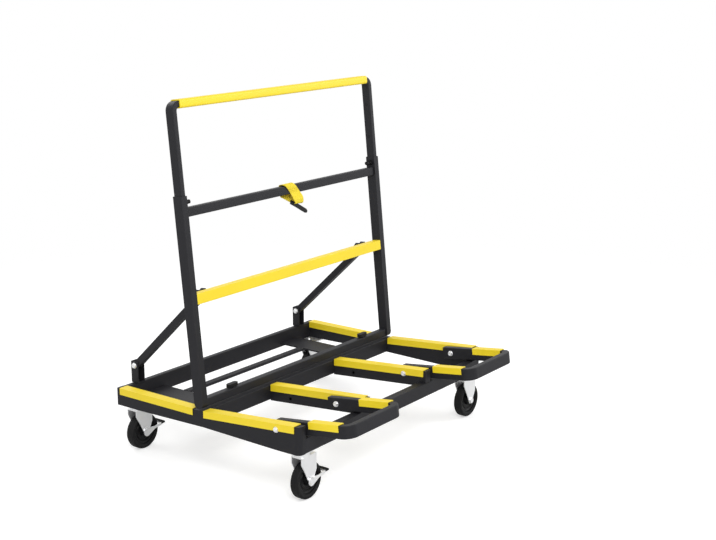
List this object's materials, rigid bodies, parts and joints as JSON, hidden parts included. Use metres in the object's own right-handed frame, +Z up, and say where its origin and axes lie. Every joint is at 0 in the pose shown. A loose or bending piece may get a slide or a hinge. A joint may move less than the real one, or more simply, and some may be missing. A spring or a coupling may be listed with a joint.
{
  "type": "sheet goods cart",
  "caption": "Folding wheeled cart for carrying sheet goods: steel base on swivel casters, leaning telescoping back frame and pull-out deck extensions with yellow covers.",
  "frame": {"origin": "on the floor under the centre of the whole cart's bounding box", "axes": "+X along the cart to the right as seen from the loading side, +Y to the rear behind the back frame, +Z up"},
  "size_m": [1.0924, 0.975, 1.2323],
  "materials": {
    "frame_paint": "textured powder coat",
    "cover_plastic": "moulded satin",
    "zinc": "zinc plated",
    "tyre": "matte",
    "hub": "moulded",
    "grip": "moulded",
    "webbing": "woven"
  },
  "bodies": {
    "base": {"side_rail_left": "frame_paint", "side_rail_right": "frame_paint", "front_rail": "frame_paint", "rear_rail": "frame_paint", "mid_crossmember": "frame_paint", "deck_rail_left": "frame_paint", "deck_rail_right": "frame_paint", "rear_plate_left": "frame_paint", "rear_plate_right": "frame_paint", "tie_bar": "frame_paint", "rear_cover_left": "cover_plastic", "rear_cover_right": "cover_plastic", "side_cover_left": "cover_plastic", "side_cover_right": "cover_plastic", "deck_cover_left": "cover_plastic", "deck_cover_right": "cover_plastic", "brace_post_left": "frame_paint", "brace_post_right": "frame_paint", "caster_plate_front_left": "zinc", "caster_plate_front_right": "zinc", "caster_plate_rear_left": "zinc", "caster_plate_rear_right": "zinc"},
    "foot": {"foot_tube": "frame_paint"},
    "backrest": {"back_post_left": "frame_paint", "back_post_right": "frame_paint", "mid_crossbar": "frame_paint", "lower_crossbar": "frame_paint", "lower_cover": "cover_plastic", "brace_bracket_left": "frame_paint", "brace_bracket_right": "frame_paint", "strap": "webbing"},
    "upper": {"upper_frame": "frame_paint", "top_sleeve": "cover_plastic"},
    "brace_left": {"brace_left": "frame_paint"},
    "extension_left": {"extension_frame_left": "frame_paint", "extension_cover_outer_left": "cover_plastic", "extension_cover_inner_left": "cover_plastic"},
    "latch_left": {"latch_grip_left": "grip"},
    "lock_left": {"lock_pin_left": "grip"},
    "brace_right": {"brace_right": "frame_paint"},
    "extension_right": {"extension_frame_right": "frame_paint", "extension_cover_outer_right": "cover_plastic", "extension_cover_inner_right": "cover_plastic"},
    "latch_right": {"latch_grip_right": "grip"},
    "lock_right": {"lock_pin_right": "grip"},
    "caster_front_left": {"fork_front_left": "zinc"},
    "wheel_front_left": {"tyre_front_left": "tyre", "hub_front_left": "hub"},
    "pedal_front_left": {"brake_pedal_front_left": "zinc"},
    "caster_front_right": {"fork_front_right": "zinc"},
    "wheel_front_right": {"tyre_front_right": "tyre", "hub_front_right": "hub"},
    "caster_rear_left": {"fork_rear_left": "zinc"},
    "wheel_rear_left": {"tyre_rear_left": "tyre", "hub_rear_left": "hub"},
    "pedal_rear_left": {"brake_pedal_rear_left": "zinc"},
    "caster_rear_right": {"fork_rear_right": "zinc"},
    "wheel_rear_right": {"tyre_rear_right": "tyre", "hub_rear_right": "hub"}
  },
  "joints": [
    {"name": "back_fold", "type": "hinge", "parent": "foot", "child": "backrest", "pos_m": [-0.01025, 0.10148, 0.2535], "axis": [1, 0, 0], "range_deg": [0, 91.15]},
    {"name": "foot_slide", "type": "slide", "parent": "base", "child": "foot", "axis": [0, 1, 0], "range_m": [0, 0.2821]},
    {"name": "brace_fold_left", "type": "hinge", "parent": "base", "child": "brace_left", "pos_m": [-0.44925, 0.4715, 0.293], "axis": [1, 0, 0], "range_deg": [0, 40.11]},
    {"name": "brace_fold_right", "type": "hinge", "parent": "base", "child": "brace_right", "pos_m": [0.42875, 0.4715, 0.293], "axis": [1, 0, 0], "range_deg": [0, 40.11]},
    {"name": "upper_slide", "type": "slide", "parent": "backrest", "child": "upper", "axis": [0, -0.0967, -0.9953], "range_m": [0, 0.24]},
    {"name": "extension_slide_left", "type": "slide", "parent": "base", "child": "extension_left", "axis": [0, 0.9921, -0.1253], "range_m": [0, 0.135]},
    {"name": "extension_slide_right", "type": "slide", "parent": "base", "child": "extension_right", "axis": [0, 0.9921, -0.1253], "range_m": [0, 0.135]},
    {"name": "latch_lift_left", "type": "slide", "parent": "foot", "child": "latch_left", "axis": [0, 0, 1], "range_m": [0, 0.008], "stiffness_N_per_m": 300},
    {"name": "latch_lift_right", "type": "slide", "parent": "foot", "child": "latch_right", "axis": [0, 0, 1], "range_m": [0, 0.008], "stiffness_N_per_m": 300},
    {"name": "lock_pull_left", "type": "slide", "parent": "backrest", "child": "lock_left", "axis": [1, 0, 0], "range_m": [0, 0.01], "stiffness_N_per_m": 300},
    {"name": "lock_pull_right", "type": "slide", "parent": "backrest", "child": "lock_right", "axis": [-1, 0, 0], "range_m": [0, 0.01], "stiffness_N_per_m": 300},
    {"name": "swivel_front_left", "type": "hinge", "parent": "base", "child": "caster_front_left", "pos_m": [-0.48425, -0.2845, 0.15], "axis": [0, 0, 1], "continuous": true},
    {"name": "roll_front_left", "type": "hinge", "parent": "caster_front_left", "child": "wheel_front_left", "pos_m": [-0.46425, -0.2845, 0.0625], "axis": [0, 1, 0], "continuous": true},
    {"name": "brake_press_front_left", "type": "hinge", "parent": "caster_front_left", "child": "pedal_front_left", "pos_m": [-0.46425, -0.2845, 0.0625], "axis": [0, 1, 0], "range_deg": [0, 8]},
    {"name": "swivel_front_right", "type": "hinge", "parent": "base", "child": "caster_front_right", "pos_m": [0.46375, -0.2845, 0.15], "axis": [0, 0, 1], "continuous": true},
    {"name": "roll_front_right", "type": "hinge", "parent": "caster_front_right", "child": "wheel_front_right", "pos_m": [0.48375, -0.2845, 0.0625], "axis": [0, 1, 0], "continuous": true},
    {"name": "swivel_rear_left", "type": "hinge", "parent": "base", "child": "caster_rear_left", "pos_m": [-0.48425, 0.4455, 0.15], "axis": [0, 0, 1], "continuous": true},
    {"name": "roll_rear_left", "type": "hinge", "parent": "caster_rear_left", "child": "wheel_rear_left", "pos_m": [-0.46425, 0.4455, 0.0625], "axis": [0, 1, 0], "continuous": true},
    {"name": "brake_press_rear_left", "type": "hinge", "parent": "caster_rear_left", "child": "pedal_rear_left", "pos_m": [-0.46425, 0.4455, 0.0625], "axis": [0, 1, 0], "range_deg": [0, 8]},
    {"name": "swivel_rear_right", "type": "hinge", "parent": "base", "child": "caster_rear_right", "pos_m": [0.46375, 0.4455, 0.15], "axis": [0, 0, 1], "continuous": true},
    {"name": "roll_rear_right", "type": "hinge", "parent": "caster_rear_right", "child": "wheel_rear_right", "pos_m": [0.48375, 0.4455, 0.0625], "axis": [0, 1, 0], "continuous": true}
  ],
  "couplings": [
    {"joint": "foot_slide", "follows": "back_fold", "m_per_rad": 0.1773},
    {"joint": "brace_fold_left", "follows": "back_fold", "ratio": 0.43996},
    {"joint": "brace_fold_right", "follows": "back_fold", "ratio": 0.43996}
  ]
}
